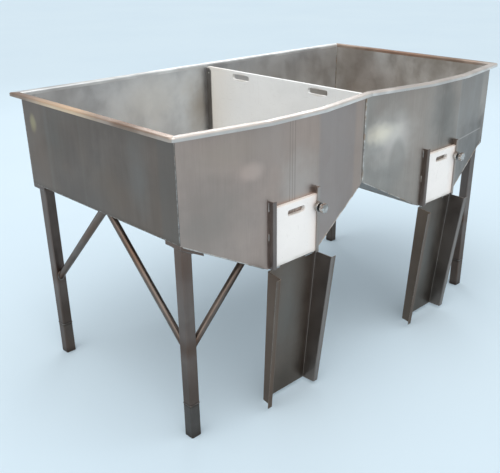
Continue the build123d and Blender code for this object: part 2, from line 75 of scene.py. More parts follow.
# --------------------------------------------------------------------------
# Node materials
# --------------------------------------------------------------------------
class Finish:
    """A small builder for one procedural material."""

    def __init__(self, name):
        self.mat = bpy.data.materials.new(name)
        self.mat.use_nodes = True
        self.tree = self.mat.node_tree
        self.tree.nodes.clear()
        self.out = self.add("ShaderNodeOutputMaterial")
        self.bsdf = self.add("ShaderNodeBsdfPrincipled")
        self.join(self.bsdf.outputs["BSDF"], self.out.inputs["Surface"])
        self.coord = self.add("ShaderNodeTexCoord").outputs["Object"]
        self.xyz = None

    def add(self, kind):
        return self.tree.nodes.new(kind)

    def join(self, a, b):
        self.tree.links.new(a, b)

    def put(self, socket, value):
        if isinstance(value, bpy.types.NodeSocket):
            self.join(value, socket)
        elif isinstance(value, (tuple, list)) and socket.type == "RGBA" and len(value) == 3:
            socket.default_value = (*value, 1.0)
        else:
            socket.default_value = value

    def axis(self, name):
        if self.xyz is None:
            self.xyz = self.add("ShaderNodeSeparateXYZ")
            self.join(self.coord, self.xyz.inputs[0])
        return self.xyz.outputs[name]

    def maths(self, op, a, b=None, clamp=False):
        node = self.add("ShaderNodeMath")
        node.operation = op
        node.use_clamp = clamp
        self.put(node.inputs[0], a)
        if b is not None:
            self.put(node.inputs[1], b)
        return node.outputs[0]

    def remap(self, value, a, b, c=0.0, d=1.0, smooth=True):
        node = self.add("ShaderNodeMapRange")
        node.interpolation_type = "SMOOTHSTEP" if smooth else "LINEAR"
        node.clamp = True
        self.put(node.inputs["Value"], value)
        for socket, v in (("From Min", a), ("From Max", b), ("To Min", c), ("To Max", d)):
            node.inputs[socket].default_value = v
        return node.outputs["Result"]

    def moved(self, scale=(1, 1, 1), shift=(0, 0, 0), spin=(0, 0, 0)):
        node = self.add("ShaderNodeMapping")
        self.join(self.coord, node.inputs["Vector"])
        node.inputs["Scale"].default_value = scale
        node.inputs["Location"].default_value = shift
        node.inputs["Rotation"].default_value = spin
        return node.outputs["Vector"]

    def noise(self, scale, stretch=(1, 1, 1), detail=3.0, rough=0.55, shift=(0, 0, 0), warp=0.0, spin=(0, 0, 0)):
        node = self.add("ShaderNodeTexNoise")
        self.join(self.moved(stretch, shift, spin), node.inputs["Vector"])
        node.inputs["Scale"].default_value = scale
        node.inputs["Detail"].default_value = detail
        node.inputs["Roughness"].default_value = rough
        node.inputs["Distortion"].default_value = warp
        return node.outputs[0]

    def mix(self, factor, a, b, blend="MIX"):
        node = self.add("ShaderNodeMix")
        node.data_type = "RGBA"
        node.blend_type = blend
        node.clamp_factor = True
        self.put(node.inputs[0], factor)
        self.put(node.inputs[6], a)
        self.put(node.inputs[7], b)
        return node.outputs[2]

    def near(self, centre, radius, squash=(1, 1, 1), core=0.0, ragged=0.35, scale=14.0):
        """1 inside an ellipsoidal patch, 0 outside, with an uneven border."""
        sub = self.add("ShaderNodeVectorMath")
        sub.operation = "SUBTRACT"
        self.join(self.coord, sub.inputs[0])
        sub.inputs[1].default_value = centre
        mul = self.add("ShaderNodeVectorMath")
        mul.operation = "MULTIPLY"
        self.join(sub.outputs[0], mul.inputs[0])
        mul.inputs[1].default_value = squash
        size = self.add("ShaderNodeVectorMath")
        size.operation = "LENGTH"
        self.join(mul.outputs[0], size.inputs[0])
        wobble = self.maths("MULTIPLY", self.maths("SUBTRACT", self.noise(scale, detail=2), 0.5), ragged * radius * 2)
        far = self.maths("ADD", size.outputs["Value"], wobble)
        return self.remap(far, core * radius, radius, 1.0, 0.0)

    def band(self, axis, centre, half, soft=1.0, low=None, high=None):
        """1 on a stripe across one axis, fading over its half width."""
        far = self.maths("ABSOLUTE", self.maths("SUBTRACT", self.axis(axis), centre))
        mask = self.remap(far, half * (1 - soft), half, 1.0, 0.0)
        for limit, sign in ((low, 1), (high, -1)):
            if limit is not None:
                a, lo, hi = limit
                gate = self.remap(self.axis(a), lo, hi, 0.0 if sign > 0 else 1.0, 1.0 if sign > 0 else 0.0)
                mask = self.maths("MULTIPLY", mask, gate)
        return mask

    def facing(self, x, y, z):
        """1 where the surface's own normal points along a fixed direction, at rest."""
        flat = self.add("ShaderNodeNewGeometry")
        dot = self.add("ShaderNodeVectorMath")
        dot.operation = "DOT_PRODUCT"
        self.join(flat.outputs["True Normal"], dot.inputs[0])
        dot.inputs[1].default_value = (x, y, z)
        return self.remap(dot.outputs["Value"], 0.3, 0.6)

    def edges(self, radius, low=0.02, high=0.30):
        """Mask of the edges, for wear and painted highlight: where a rounded normal leaves the true one."""
        bevel = self.add("ShaderNodeBevel")
        bevel.samples = 4
        bevel.inputs["Radius"].default_value = radius
        flat = self.add("ShaderNodeNewGeometry")
        dot = self.add("ShaderNodeVectorMath")
        dot.operation = "DOT_PRODUCT"
        self.join(bevel.outputs[0], dot.inputs[0])
        self.join(flat.outputs["Normal"], dot.inputs[1])
        self.bevel = bevel.outputs[0]
        return self.remap(self.maths("SUBTRACT", 1.0, dot.outputs["Value"]), low, high)

    def bump(self, height, strength, distance, normal=None):
        node = self.add("ShaderNodeBump")
        node.inputs["Strength"].default_value = strength
        node.inputs["Distance"].default_value = distance
        self.join(height, node.inputs["Height"])
        if normal is not None:
            self.join(normal, node.inputs["Normal"])
        return node.outputs["Normal"]

    def use(self, *names):
        for n in names:
            mesh = nodes[n].data
            if not mesh.materials:
                mesh.materials.append(self.mat)
            for k in range(len(mesh.materials)):
                mesh.materials[k] = self.mat


def steel(
    name, dark, light, warm, grain, rough=0.40, seed=0.0, warmth=0.5, patches=(), stripes=(), edge=0.0025,
    edge_gain=1.45, streak=0.12, mottle=0.55, spin=(0, 0, 0), wave=0.10, inner=None, upper=None, rim=None,
):
    """Brushed stainless: long grain, faint rolling streaks, cloudy tone and brown tints, edges painted bright as wear
    and painted highlight, lighter painted-light copies on inner and upper faces, a painted highlight band along the
    rim top.
    """
    f = Finish(name)
    shift = (seed * 1.7, seed * 0.9, seed * 2.3)
    g = grain
    fine = f.noise(900.0, g, 2.0, 0.6, shift, spin=spin)
    coarse = f.noise(170.0, g, 3.0, 0.6, shift, spin=spin)
    bands = f.noise(26.0, tuple(0.10 if v < 0.5 else 1.0 for v in g), 2.0, 0.5, shift, spin=spin)
    cloud = f.noise(3.4, (1, 1, 1), 4.0, 0.55, shift, 0.6)
    blotch = f.noise(9.0, (1, 1, 1), 5.0, 0.62, (shift[2], shift[0], shift[1]), 0.3)
    tone = f.maths("ADD", f.maths("MULTIPLY", cloud, mottle), f.maths("MULTIPLY", blotch, 1.0 - mottle))
    colour = f.mix(f.remap(tone, 0.34, 0.66), dark, light)
    tint = f.maths("MULTIPLY", f.remap(f.noise(2.1, (1, 1, 0.7), 3.0, 0.5, (shift[1], shift[2], shift[0])), 0.42, 0.68), warmth)
    colour = f.mix(tint, colour, warm)
    lines = f.remap(f.maths("ADD", f.maths("MULTIPLY", bands, 0.6), f.maths("MULTIPLY", coarse, 0.4)), 0.30, 0.70)
    colour = f.mix(f.maths("MULTIPLY", lines, streak), colour, tuple(c * 1.5 for c in light), "MIX")
    colour = f.mix(f.maths("MULTIPLY", f.remap(fine, 0.35, 0.75), 0.16), colour, tuple(c * 0.55 for c in dark))
    dull = None
    for kind, mask_args, to, amount in patches:
        mask = f.near(**mask_args) if kind == "near" else f.band(**mask_args)
        mask = f.maths("MULTIPLY", mask, amount)
        colour = f.mix(mask, colour, to)
    for args, to, amount in stripes:
        colour = f.mix(f.maths("MULTIPLY", f.band(**args), amount), colour, to)
    # faces picked by their normal get a lighter copy of the steel: painted light on the inward and upward faces, with
    # patches of their own
    for facing, low, high, tinted in filter(None, (inner, upper)):
        soft = f.mix(f.remap(tone, 0.36, 0.64), low, high)
        soft = f.mix(f.maths("MULTIPLY", tint, 0.9), soft, tinted)
        soft = f.mix(f.maths("MULTIPLY", lines, streak * 0.8), soft, tuple(min(0.9, c * 1.2) for c in high))
        for kind, mask_args, to, amount in (rim or {}).get("inside", ()):
            mask = f.near(**mask_args) if kind == "near" else f.band(**mask_args)
            soft = f.mix(f.maths("MULTIPLY", mask, amount), soft, to)
        colour = f.mix(f.facing(*facing), colour, soft)
    # rim top: a band painted as a highlight, its colours given per wall
    if rim is not None:
        top = f.mix(f.remap(f.noise(11.0, (0.6, 0.6, 1), 3.0, 0.5, shift), 0.36, 0.64), rim["low"], rim["high"])
        for mask_args, to, amount in rim.get("along", ()):
            top = f.mix(f.maths("MULTIPLY", f.band(**mask_args), amount), top, to)
        colour = f.mix(f.remap(f.axis("Z"), Z_TOP - 0.0145, Z_TOP - 0.0125), colour, top)
    # edges painted bright: partly wear, partly painted highlight
    edge_wear_and_sheen = f.edges(edge)
    edge_wear_and_sheen = f.maths("MULTIPLY", edge_wear_and_sheen, f.remap(f.noise(60.0, shift=shift), 0.30, 0.62, 0.45, 1.0))
    colour = f.mix(f.maths("MULTIPLY", edge_wear_and_sheen, 0.7), colour, tuple(min(0.85, c * edge_gain + 0.06) for c in light))
    f.put(f.bsdf.inputs["Base Color"], colour)
    f.bsdf.inputs["Metallic"].default_value = 1.0
    r = f.maths("ADD", f.remap(blotch, 0.3, 0.7, rough - 0.06, rough + 0.08), f.maths("MULTIPLY", f.maths("SUBTRACT", coarse, 0.5), 0.16))
    r = f.maths("SUBTRACT", r, f.maths("MULTIPLY", edge_wear_and_sheen, 0.10), clamp=True)
    f.put(f.bsdf.inputs["Roughness"], r)
    normal = f.bump(f.noise(5.5, (1, 1, 0.8), 1.0, 0.4, shift), wave, 0.010, f.bevel)
    normal = f.bump(coarse, 0.12, 0.0006, normal)
    normal = f.bump(fine, 0.10, 0.0002, normal)
    f.put(f.bsdf.inputs["Normal"], normal)
    return f


def board(name, base, shade, warm, seed=0.0, slots=(), scratch=0.5, warm_mask=None, dirt=None):
    """Milled polyethylene: cloudy off-white, knife scratches, saw marks on the edges, soiled slot rims."""
    f = Finish(name)
    shift = (seed * 1.3, seed * 2.1, seed * 0.7)
    cloud = f.noise(5.0, (1, 1, 1), 5.0, 0.6, shift, 0.5)
    colour = f.mix(f.remap(cloud, 0.30, 0.72), shade, base)
    yellow = f.remap(f.noise(2.4, (1, 1, 1), 3.0, 0.5, (shift[2], shift[1], shift[0])), 0.45, 0.70, 0.0, 0.55)
    if warm_mask is not None:
        yellow = f.maths("ADD", yellow, f.band(**warm_mask), clamp=True)
    colour = f.mix(yellow, colour, warm)
    cut1 = f.noise(60.0, (1, 6, 0.35), 1.0, 0.5, shift, 0.2, (0.0, 0.5, 0.3))
    cut2 = f.noise(75.0, (1, 0.3, 5), 1.0, 0.5, (shift[1], shift[0], shift[2]), 0.2, (0.7, 0.0, 0.4))
    cuts = f.maths("MAXIMUM", f.remap(cut1, 0.68, 0.74), f.remap(cut2, 0.69, 0.75))
    colour = f.mix(f.maths("MULTIPLY", cuts, 0.22 * scratch), colour, tuple(c * 0.62 for c in warm))
    specks = f.remap(f.noise(210.0, detail=2.0, shift=shift), 0.71, 0.76)
    colour = f.mix(f.maths("MULTIPLY", specks, 0.35), colour, (0.30, 0.26, 0.21))
    for centre, squash, radius in slots:
        rim = f.near(centre, radius, squash, 0.55, 0.12, 40.0)
        colour = f.mix(f.maths("MULTIPLY", rim, 0.40), colour, (0.42, 0.35, 0.27))
    if dirt is not None:
        grime = f.maths("MULTIPLY", f.band(**dirt), f.remap(f.noise(24.0, shift=shift), 0.30, 0.70, 0.15, 0.6))
        colour = f.mix(grime, colour, (0.50, 0.46, 0.40))
    # edges painted slightly brighter: partly wear, partly painted highlight
    edge_wear_and_sheen = f.edges(0.0015, 0.03, 0.35)
    colour = f.mix(f.maths("MULTIPLY", edge_wear_and_sheen, 0.5), colour, tuple(min(1.0, c * 1.06) for c in base))
    f.put(f.bsdf.inputs["Base Color"], colour)
    f.bsdf.inputs["Metallic"].default_value = 0.0
    f.bsdf.inputs["IOR"].default_value = 1.51
    f.put(f.bsdf.inputs["Roughness"], f.remap(cloud, 0.3, 0.7, 0.42, 0.60))
    normal = f.bump(f.noise(130.0, (1, 1, 0.12), 2.0, 0.5, shift), 0.10, 0.0004, f.bevel)
    normal = f.bump(cuts, -0.25, 0.0003, normal)
    f.put(f.bsdf.inputs["Normal"], normal)
    return f


UP = (1.0, 1.0, 0.012)          # grain runs along Z
ALONG_X = (0.012, 1.0, 1.0)
ALONG_Y = (1.0, 0.012, 1.0)
BROWN = (0.235, 0.175, 0.135)
WARM = (0.33, 0.285, 0.25)

# end walls: warm grey outside, painted lighter inside as lit faces, copper tint on a painted highlight along the rim
for s, k in SIDES:
    end = k * X_END
    steel(
        "steel_end_" + s, (0.136, 0.111, 0.095), (0.218, 0.180, 0.157), (0.200, 0.140, 0.102), UP, 0.42, 1.0 + k, 0.45,
        patches=[
            ("near", dict(centre=(end, 0.417, 0.951), radius=0.032, squash=(1, 1.2, 0.7), core=0.15), (0.44, 0.37, 0.22), 0.70),
            ("near", dict(centre=(end, -0.02, 0.80), radius=0.20, squash=(1, 1, 1.8)), (0.22, 0.165, 0.125), 0.30),
            ("near", dict(centre=(end, 0.28, 0.93), radius=0.16, squash=(1, 1.6, 1)), (0.155, 0.145, 0.130), 0.45),
            ("near", dict(centre=(end, -0.20, 0.90), radius=0.15, squash=(1, 2.0, 0.7)), (0.215, 0.200, 0.185), 0.50),
            ("near", dict(centre=(end, 0.10, 0.76), radius=0.14, squash=(1, 0.6, 1.3)), (0.145, 0.125, 0.112), 0.45),
        ],
        stripes=[
            (dict(axis="Y", centre=Y_FRONT + 0.030, half=0.060, soft=0.30, high=("Z", 1.030, 1.036)), (0.165, 0.150, 0.136), 0.45),
            (dict(axis="Y", centre=Y_BACK - 0.15, half=0.018, high=("Z", 1.030, 1.036)), (0.22, 0.20, 0.18), 0.30),
            (dict(axis="Y", centre=0.115, half=0.010, high=("Z", 1.030, 1.036)), (0.22, 0.195, 0.17), 0.22),
            (dict(axis="Z", centre=Z_WALL, half=0.020), (0.11, 0.09, 0.075), 0.45),
        ],
        inner=((-k, 0, 0), (0.42, 0.385, 0.345), (0.72, 0.71, 0.69), (0.38, 0.31, 0.25)) if k > 0 else ((-k, 0, 0), (0.50, 0.49, 0.48), (0.64, 0.63, 0.62), (0.48, 0.42, 0.37)),
        rim=dict(low=(0.29, 0.205, 0.155), high=(0.47, 0.365, 0.30), along=[
            (dict(axis="Y", centre=0.16, half=0.26, soft=0.8), (0.86, 0.64, 0.44), 0.85),
            (dict(axis="Y", centre=Y_FRONT, half=0.08, soft=0.8), (0.62, 0.53, 0.46), 0.60),
        ] if k < 0 else [
            (dict(axis="Y", centre=0.10, half=0.30, soft=0.8), (0.40, 0.25, 0.18), 0.80),
            (dict(axis="Y", centre=Y_FRONT, half=0.08, soft=0.8), (0.62, 0.60, 0.57), 0.60),
        ], inside=[
            ("band", dict(axis="Y", centre=0.36, half=0.17, soft=0.9), (0.30, 0.235, 0.19), 0.55),
            ("near", dict(centre=(end, 0.20, 0.90), radius=0.20, squash=(1, 1, 1.2)), (0.36, 0.29, 0.25), 0.40),
        ]),
    ).use(s + "_end_wall")

# back wall: inside face painted lighter as a lit face, with patches of painted highlight and a darker patch beside the
# divider, and a painted highlight on the rim top
steel(
    "steel_back", (0.215, 0.200, 0.188), (0.30, 0.282, 0.265), (0.27, 0.215, 0.175), UP, 0.42, 3.0, 0.40,
    stripes=[(dict(axis="Z", centre=Z_WALL, half=0.022), (0.15, 0.125, 0.10), 0.45)],
    inner=((0, -1, 0), (0.50, 0.530, 0.560), (0.72, 0.760, 0.790), (0.60, 0.575, 0.54)),
    rim=dict(low=(0.62, 0.64, 0.65), high=(0.84, 0.87, 0.88), inside=[
        ("near", dict(centre=(-0.31, Y_BACK, 0.95), radius=0.26, squash=(0.9, 1, 1.5)), (0.84, 0.84, 0.81), 0.55),
        ("near", dict(centre=(-0.05, Y_BACK, 0.88), radius=0.14, squash=(1.3, 1, 0.8)), (0.40, 0.36, 0.315), 0.75),
        ("near", dict(centre=(0.62, Y_BACK, 0.86), radius=0.26, squash=(0.8, 1, 1.3)), (0.66, 0.68, 0.68), 0.50),
        ("near", dict(centre=(0.20, Y_BACK, 0.90), radius=0.22, squash=(1, 1, 1.4)), (0.72, 0.73, 0.73), 0.50),
    ]),
).use("back_wall")

# front panels: film lines up the flat middle, patches of tone and painted highlight, painted shade on the facet past
# the right-hand bend
for s, k in SIDES:
    xm = k * X_MID
    left = s == "left"
    lines = [(xm - 0.0165, 0.0022), (xm - 0.0045, 0.0022), (xm + 0.0075, 0.0026)] if left else [(xm - 0.010, 0.0026), (xm + 0.004, 0.0022), (xm + 0.013, 0.0026)]
    stripes = [
        (dict(axis="X", centre=x, half=h, soft=0.6, high=("Z", 1.028, 1.034)), (0.245, 0.205, 0.180), 0.55) for x, h in lines
    ]
    stripes += [
        # painted shade: the facet past the right-hand bend, a step darker than the flat middle
        (dict(axis="X", centre=xm + 0.245, half=0.13, soft=0.20, high=("Z", 1.030, 1.036)), (0.330, 0.288, 0.275) if left else (0.262, 0.240, 0.222), 0.60),
        (dict(axis="X", centre=0.0, half=0.018, soft=0.5, high=("Z", 1.030, 1.036)), (0.42, 0.385, 0.35), 0.50),
    ]
    if left:
        patches = [
            # the first patch is a painted highlight, a small pinkish lamp reflection
            ("near", dict(centre=(xm - 0.175, Y_PANEL + 0.01, 0.898), radius=0.052, squash=(0.8, 1, 1.2), core=0.3), (0.60, 0.46, 0.40), 0.60),
            ("near", dict(centre=(xm - 0.26, Y_PANEL + 0.03, 0.965), radius=0.14, squash=(0.6, 1, 1.7)), (0.42, 0.335, 0.275), 0.45),
            ("near", dict(centre=(xm + 0.03, Y_PANEL, 0.80), radius=0.17, squash=(1.3, 1, 0.9)), (0.54, 0.475, 0.435), 0.65),
            ("near", dict(centre=(-X_END + 0.10, Y_FRONT, 0.76), radius=0.16, squash=(0.8, 1, 0.8)), (0.275, 0.242, 0.215), 0.55),
            ("near", dict(centre=(xm - 0.10, Y_PANEL, 0.97), radius=0.12, squash=(1.1, 1, 0.9)), (0.445, 0.365, 0.325), 0.45),
        ]
    else:
        patches = [
            # the first two patches are a painted highlight, a warm lamp reflection, and its painted glow
            ("near", dict(centre=(0.104, Y_PANEL + 0.034, 0.882), radius=0.085, squash=(0.80, 0.8, 1.5), core=0.15), (1.0, 0.87, 0.68), 1.0),
            ("near", dict(centre=(0.150, Y_PANEL + 0.03, 0.86), radius=0.16, squash=(1, 1, 1.1)), (0.68, 0.61, 0.56), 0.80),
            ("near", dict(centre=(0.175, Y_PANEL + 0.023, 0.770), radius=0.060, squash=(1.1, 1, 0.6), core=0.55, ragged=0.15), (0.34, 0.305, 0.275), 0.62),
            ("near", dict(centre=(0.736, Y_PANEL + 0.03, 0.69), radius=0.22, squash=(0.8, 1, 1.0), core=0.2), (0.105, 0.090, 0.080), 0.90),
            ("near", dict(centre=(xm + 0.02, Y_PANEL, 0.90), radius=0.16, squash=(1.25, 1, 0.6)), (0.222, 0.202, 0.182), 0.85),
        ]
        stripes += [
            # a light line along the seam across the right-hand facet, painted as a highlight
            (dict(axis="Z", centre=0.776, half=0.0035, soft=0.5, low=("X", xm + 0.11, xm + 0.13), high=("X", xm + 0.38, xm + 0.41)), (0.56, 0.50, 0.46), 0.50),
        ]
    steel(
        "steel_front_" + s, (0.365, 0.290, 0.252) if left else (0.300, 0.272, 0.246), (0.460, 0.366, 0.322) if left else (0.420, 0.382, 0.348),
        (0.430, 0.320, 0.258), UP, 0.40, 5.0 + 2 * k, 0.40, patches=patches, stripes=stripes, wave=0.13,
        # inside faces painted lighter as lit faces; rim top painted as a highlight
        inner=((0, 1, 0), (0.50, 0.49, 0.48), (0.64, 0.63, 0.62), (0.48, 0.42, 0.37)),
        rim=dict(low=(0.60, 0.555, 0.52), high=(0.80, 0.755, 0.715)),
    ).use("front_panel_" + s)
    steel(
        "steel_floor_" + s, (0.20, 0.185, 0.172), (0.28, 0.262, 0.245), (0.24, 0.195, 0.16), ALONG_Y, 0.44, 9.0 + k, 0.5,
        stripes=[(dict(axis="X", centre=k * 0.012, half=0.02), (0.18, 0.15, 0.12), 0.5)],
        # upward faces painted lighter as lit faces
        upper=((0, 0, 1), (0.52, 0.51, 0.50), (0.66, 0.65, 0.64), (0.50, 0.43, 0.37)),
        rim=None,
    ).use("hopper_floor_" + s)

# guides and divider channels: the left guides (a) painted darker as shaded, the right guides (b) lighter as lit
for e, low, high in (("a", (0.160, 0.132, 0.122), (0.235, 0.200, 0.185)), ("b", (0.34, 0.300, 0.275), (0.45, 0.400, 0.370))):
    steel("steel_guide_light_and_shade_" + e, low, high, (0.17, 0.125, 0.095), UP, 0.40, 12.0, 0.5, edge=0.0014, edge_gain=1.5).use(
        *["gate_guide_%s_%s" % (s, e) for s, _ in SIDES]
    )
steel("steel_channel", (0.22, 0.216, 0.210), (0.36, 0.352, 0.345), (0.20, 0.17, 0.14), UP, 0.38, 13.0, 0.4, edge=0.0016, edge_gain=1.8).use(
    "divider_channel_back", "divider_channel_front"
)

# legs, pads and feet: browner and darker towards the floor
for s, k in SIDES:
    for e, j in ENDS:
        tag = e + "_" + s
        seed = 20 + 3 * k + 7 * j
        leg = steel(
            "steel_leg_" + tag, (0.112, 0.092, 0.083), (0.202, 0.170, 0.154), (0.165, 0.104, 0.078), UP, 0.40, seed, 0.65, edge=0.0022, edge_gain=1.7,
            stripes=[
                (dict(axis="Z", centre=0.131, half=0.22, soft=0.9), (0.095, 0.066, 0.052), 0.65),
                (dict(axis="Z", centre=0.345, half=0.050), (0.10, 0.060, 0.042), 0.60),
                (dict(axis="Z", centre=0.131, half=0.010), (0.055, 0.045, 0.040), 0.65),
            ],
        )
        leg.use("leg_" + tag, "leg_pad_" + tag)
        steel(
            "steel_foot_" + tag, (0.085, 0.074, 0.067), (0.150, 0.134, 0.123), (0.125, 0.078, 0.056), UP, 0.42, seed + 1.5, 0.70, edge=0.0022, edge_gain=1.8,
            stripes=[
                (dict(axis="Z", centre=0.131, half=0.014), (0.045, 0.030, 0.022), 0.7),
                (dict(axis="Z", centre=0.0, half=0.030), (0.05, 0.036, 0.028), 0.6),
            ],
        ).use("foot_" + tag)
        for kind in ("long", "end"):
            steel(
                "steel_%s_brace_%s" % (kind, tag), (0.105, 0.086, 0.075), (0.205, 0.172, 0.152), (0.175, 0.108, 0.074),
                ALONG_X if kind == "long" else ALONG_Y, 0.34, seed + 4.0, 0.70, edge=0.0015,
                spin=(0, math.radians(45 * k), 0) if kind == "long" else (math.radians(-45 * j), 0, 0),
                stripes=[
                    (dict(axis="Z", centre=0.350, half=0.045), (0.10, 0.055, 0.035), 0.75),
                    (dict(axis="Z", centre=0.600, half=0.060), (0.16, 0.10, 0.07), 0.45),
                ],
            ).use("%s_brace_%s" % (kind, tag))
    xm = k * X_MID
    steel(
        "steel_chute_" + s, (0.122, 0.104, 0.088), (0.194, 0.166, 0.142), (0.180, 0.112, 0.078), UP, 0.38, 30 + k, 0.55, edge=0.0020, edge_gain=3.0,
        streak=0.16,
        patches=[
            ("near", dict(centre=(xm - 0.01, Y_PANEL, 0.34), radius=0.22, squash=(2.2, 1, 0.7)), (0.178, 0.170, 0.155), 0.55),
            ("near", dict(centre=(xm, Y_PANEL, 0.06), radius=0.16), (0.085, 0.07, 0.055), 0.60),
        ],
        stripes=[
            (dict(axis="X", centre=xm - 0.125, half=0.030), (0.15, 0.092, 0.062), 0.60),
            # painted light: the right flange's inner face lifted from its shade to a lighter tone
            (dict(axis="X", centre=xm + 0.125, half=0.030), (0.270, 0.238, 0.222), 0.75),
        ],
    ).use("chute_" + s)
    steel("steel_hinge_" + s, (0.30, 0.285, 0.27), (0.48, 0.46, 0.44), (0.30, 0.22, 0.15), ALONG_X, 0.28, 40 + k, 0.5, edge=0.0008).use(
        "hinge_knuckles_" + s, "hinge_pin_" + s
    )

    # gate plate
    board(
        "board_gate_" + s, (0.94, 0.895, 0.860), (0.88, 0.835, 0.800), (0.90, 0.79, 0.725), 50 + k,
        slots=[((xm, Y_PANEL - 0.007, 0.734), (1.0, 1.0, 3.4), 0.050)],
        warm_mask=dict(axis="X", centre=xm + 0.112, half=0.060), dirt=dict(axis="Z", centre=0.561, half=0.018), scratch=0.6,
    ).use("gate_plate_" + s)

    # clamp: turned and polished parts, a painted shadow in the neck, painted shade in the thread's grooves, edges
    # painted bright
    f = Finish("chrome_clamp_" + s)
    turned = f.noise(700.0, (1.0, 0.05, 1.0), 2.0, 0.5, (k, 0, 0))
    cloud = f.noise(55.0, detail=4.0, shift=(0, k, 0))
    colour = f.mix(f.remap(cloud, 0.32, 0.68), (0.26, 0.235, 0.215), (0.68, 0.655, 0.63))
    # painted shadow: a near-black band in the neck between boss and knob
    colour = f.mix(f.maths("MULTIPLY", f.band("Y", Y_PANEL - 0.0350, 0.004, 0.5), 0.85), colour, (0.06, 0.055, 0.05))
    grime = f.remap(f.noise(38.0, detail=3.0, shift=(k, 2, 0)), 0.50, 0.72, 0.0, 0.55)
    colour = f.mix(grime, colour, (0.22, 0.18, 0.14))
    # edges painted near white: painted highlight, partly wear
    edge_wear_and_sheen = f.edges(0.0012)
    colour = f.mix(edge_wear_and_sheen, colour, (0.88, 0.875, 0.86))
    f.put(f.bsdf.inputs["Base Color"], colour)
    f.bsdf.inputs["Metallic"].default_value = 1.0
    f.put(f.bsdf.inputs["Roughness"], f.remap(cloud, 0.3, 0.7, 0.14, 0.34))
    pitch = f.add("ShaderNodeTexWave")
    pitch.wave_type, pitch.bands_direction = "BANDS", "Y"
    f.join(f.coord, pitch.inputs["Vector"])
    pitch.inputs["Scale"].default_value = 90.0
    normal = f.bump(turned, 0.15, 0.0002, f.bevel)
    f.put(f.bsdf.inputs["Normal"], normal)
    f.use("clamp_boss_" + s, "clamp_knob_" + s)
    f = Finish("thread_clamp_" + s)
    pitch = f.add("ShaderNodeTexWave")
    pitch.wave_type, pitch.bands_direction = "BANDS", "Y"
    f.join(f.coord, pitch.inputs["Vector"])
    pitch.inputs["Scale"].default_value = math.pi * 2 / 0.00175 / 20.0
    edge_wear_and_sheen = f.edges(0.0008)
    oily = f.noise(80.0, detail=3.0)
    # dark bands in the thread's grooves: painted shade
    colour = f.mix(f.remap(pitch.outputs[0], 0.2, 0.8), (0.07, 0.06, 0.05), (0.42, 0.41, 0.40))
    colour = f.mix(f.remap(oily, 0.45, 0.7, 0.0, 0.6), colour, (0.10, 0.08, 0.06))
    f.put(f.bsdf.inputs["Base Color"], colour)
    f.bsdf.inputs["Metallic"].default_value = 1.0
    f.put(f.bsdf.inputs["Roughness"], f.remap(oily, 0.3, 0.7, 0.25, 0.45))
    f.put(f.bsdf.inputs["Normal"], f.bump(pitch.outputs[0], 0.6, 0.0006, f.bevel))
    f.use("clamp_screw_" + s)

board(
    "board_divider", (0.90, 0.935, 0.945), (0.84, 0.875, 0.885), (0.84, 0.83, 0.79), 60.0,
    slots=[((0, Y_FRONT + 0.225, 1.018), (1, 1.0, 3.0), 0.058), ((0, Y_FRONT + 0.645, 1.018), (1, 1.0, 3.0), 0.058)],
    warm_mask=dict(axis="Y", centre=Y_BACK, half=0.22), dirt=dict(axis="Z", centre=0.718, half=0.09), scratch=1.0,
).use("divider_board")


# --------------------------------------------------------------------------
# Weld beads and other fine parts, built as meshes
# --------------------------------------------------------------------------
def weld_finish(name, seed, low, high, tint):
    """Laid bead: crests painted bright, partly wear and partly painted highlight; brown and blue heat tint in the
    hollows.
    """
    f = Finish(name)
    shift = (seed, seed * 0.6, seed * 1.4)
    grain = f.noise(420.0, detail=3.0, shift=shift)
    cloud = f.noise(36.0, detail=4.0, shift=shift, warp=0.4)
    colour = f.mix(f.remap(cloud, 0.30, 0.70), low, high)
    colour = f.mix(f.remap(f.noise(22.0, detail=3.0, shift=(shift[1], shift[2], shift[0])), 0.46, 0.66, 0.0, 0.75), colour, tint)
    colour = f.mix(f.remap(f.noise(48.0, detail=2.0, shift=(shift[2], shift[0], shift[1])), 0.62, 0.72, 0.0, 0.5), colour, (0.07, 0.09, 0.14))
    # crests painted bright: painted highlight, partly wear
    edge_wear_and_sheen = f.edges(0.0008, 0.05, 0.4)
    colour = f.mix(f.maths("MULTIPLY", edge_wear_and_sheen, 0.6), colour, tuple(min(0.9, c * 1.5) for c in high))
    f.put(f.bsdf.inputs["Base Color"], colour)
    f.bsdf.inputs["Metallic"].default_value = 1.0
    f.put(f.bsdf.inputs["Roughness"], f.remap(grain, 0.3, 0.7, 0.26, 0.44))
    f.put(f.bsdf.inputs["Normal"], f.bump(grain, 0.3, 0.0003, f.bevel))
    return f.mat


WELD_WALL = weld_finish("weld_bright", 1.0, (0.34, 0.32, 0.30), (0.66, 0.64, 0.61), (0.36, 0.25, 0.16))
WELD_DULL = weld_finish("weld_dull", 3.0, (0.150, 0.135, 0.122), (0.24, 0.218, 0.200), (0.20, 0.15, 0.115))
WELD_LEG = weld_finish("weld_dark", 2.0, (0.11, 0.095, 0.085), (0.27, 0.25, 0.235), (0.17, 0.10, 0.065))


